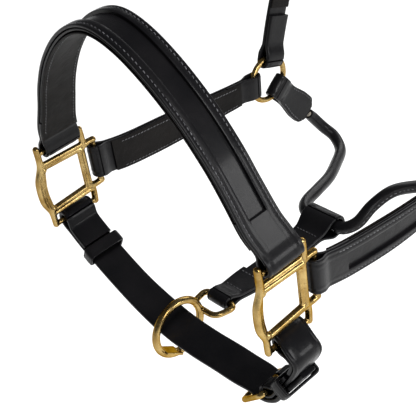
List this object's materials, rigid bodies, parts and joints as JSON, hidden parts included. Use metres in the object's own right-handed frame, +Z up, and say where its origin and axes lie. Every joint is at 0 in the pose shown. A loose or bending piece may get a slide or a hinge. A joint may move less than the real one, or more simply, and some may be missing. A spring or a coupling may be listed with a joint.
{
  "type": "headcollar",
  "caption": "Leather headcollar for a horse, with padded noseband and cheeks, buckled crown and chin straps, rolled throat, cast brass fittings and a throat snap.",
  "frame": {"origin": "seat under the middle of the crown strap, where the headcollar hangs on the poll", "axes": "+X towards the horse's near (left) side, +Y from the nose towards the poll, +Z up, square to the cheek straps"},
  "size_m": [0.222, 0.3176, 0.3255],
  "materials": {
    "strap_leather": "polished black",
    "lining_leather": "plain black",
    "cast_brass": "polished",
    "cord_core": "twisted cotton",
    "spring_steel": "plain"
  },
  "bodies": {
    "headcollar": {"noseband_strap": "strap_leather", "near_cheek_strap": "strap_leather", "off_cheek_strap": "strap_leather", "crown_strap": "strap_leather", "crown_chape": "strap_leather", "crown_fixed_keeper": "strap_leather", "chin_strap": "strap_leather", "chin_chape": "strap_leather", "chin_fixed_keeper": "strap_leather", "jaw_strap": "strap_leather", "near_throat_tab": "strap_leather", "off_throat_tab": "strap_leather", "rolled_throat": "strap_leather", "noseband_core": "lining_leather", "noseband_lining": "lining_leather", "near_cheek_core": "lining_leather", "near_cheek_lining": "lining_leather", "off_cheek_core": "lining_leather", "off_cheek_lining": "lining_leather", "crown_lining": "lining_leather", "near_square": "cast_brass", "off_square": "cast_brass", "crown_buckle_frame": "cast_brass", "chin_buckle_frame": "cast_brass", "snap_swivel_eye": "cast_brass", "rolled_throat_core": "cord_core"},
    "near_throat_ring": {"near_throat_ring": "cast_brass"},
    "off_throat_ring": {"off_throat_ring": "cast_brass"},
    "chin_ring": {"chin_ring": "cast_brass"},
    "crown_tongue": {"crown_buckle_tongue": "cast_brass"},
    "chin_tongue": {"chin_buckle_tongue": "cast_brass"},
    "crown_runner": {"crown_runner": "strap_leather"},
    "off_chin_keeper": {"off_chin_keeper": "strap_leather"},
    "snap": {"snap_body": "cast_brass", "snap_spring": "spring_steel"},
    "snap_bolt": {"snap_bolt": "cast_brass", "snap_thumb_stud": "cast_brass"}
  },
  "joints": [
    {"name": "near_throat_ring_turn", "type": "hinge", "parent": "headcollar", "child": "near_throat_ring", "pos_m": [0.1, -0.051, -0.225], "axis": [1, 0, 0], "continuous": true},
    {"name": "off_throat_ring_turn", "type": "hinge", "parent": "headcollar", "child": "off_throat_ring", "pos_m": [-0.1, -0.051, -0.225], "axis": [1, 0, 0], "continuous": true},
    {"name": "chin_ring_swing", "type": "hinge", "parent": "headcollar", "child": "chin_ring", "pos_m": [0, -0.209, -0.297], "axis": [1, 0, 0], "range_deg": [-12, 3]},
    {"name": "crown_tongue_lift", "type": "hinge", "parent": "headcollar", "child": "crown_tongue", "pos_m": [0.09874, -0.03039, -0.15261], "axis": [0.0196, 0.9622, -0.2718], "range_deg": [0, 20]},
    {"name": "chin_tongue_lift", "type": "hinge", "parent": "headcollar", "child": "chin_tongue", "pos_m": [0.08935, -0.24785, -0.29057], "axis": [0, -0.9976, -0.0698], "range_deg": [0, 20]},
    {"name": "crown_runner_slide", "type": "slide", "parent": "headcollar", "child": "crown_runner", "axis": [0.0225, -0.2734, -0.9616], "range_m": [-0.006, 0.01]},
    {"name": "off_chin_keeper_slide", "type": "slide", "parent": "headcollar", "child": "off_chin_keeper", "axis": [0.8954, -0.0306, -0.4442], "range_m": [-0.007, 0.007]},
    {"name": "snap_swivel", "type": "hinge", "parent": "headcollar", "child": "snap", "pos_m": [0.1075, -0.03927, -0.23833], "axis": [0, 0.6606, -0.7507], "range_deg": [-14, 14]},
    {"name": "snap_bolt_slide", "type": "slide", "parent": "snap", "child": "snap_bolt", "axis": [0, 0.6606, -0.7507], "range_m": [0, 0.007], "stiffness_N_per_m": 350, "springref_m": -0.006, "deforming": ["snap_spring"]}
  ]
}
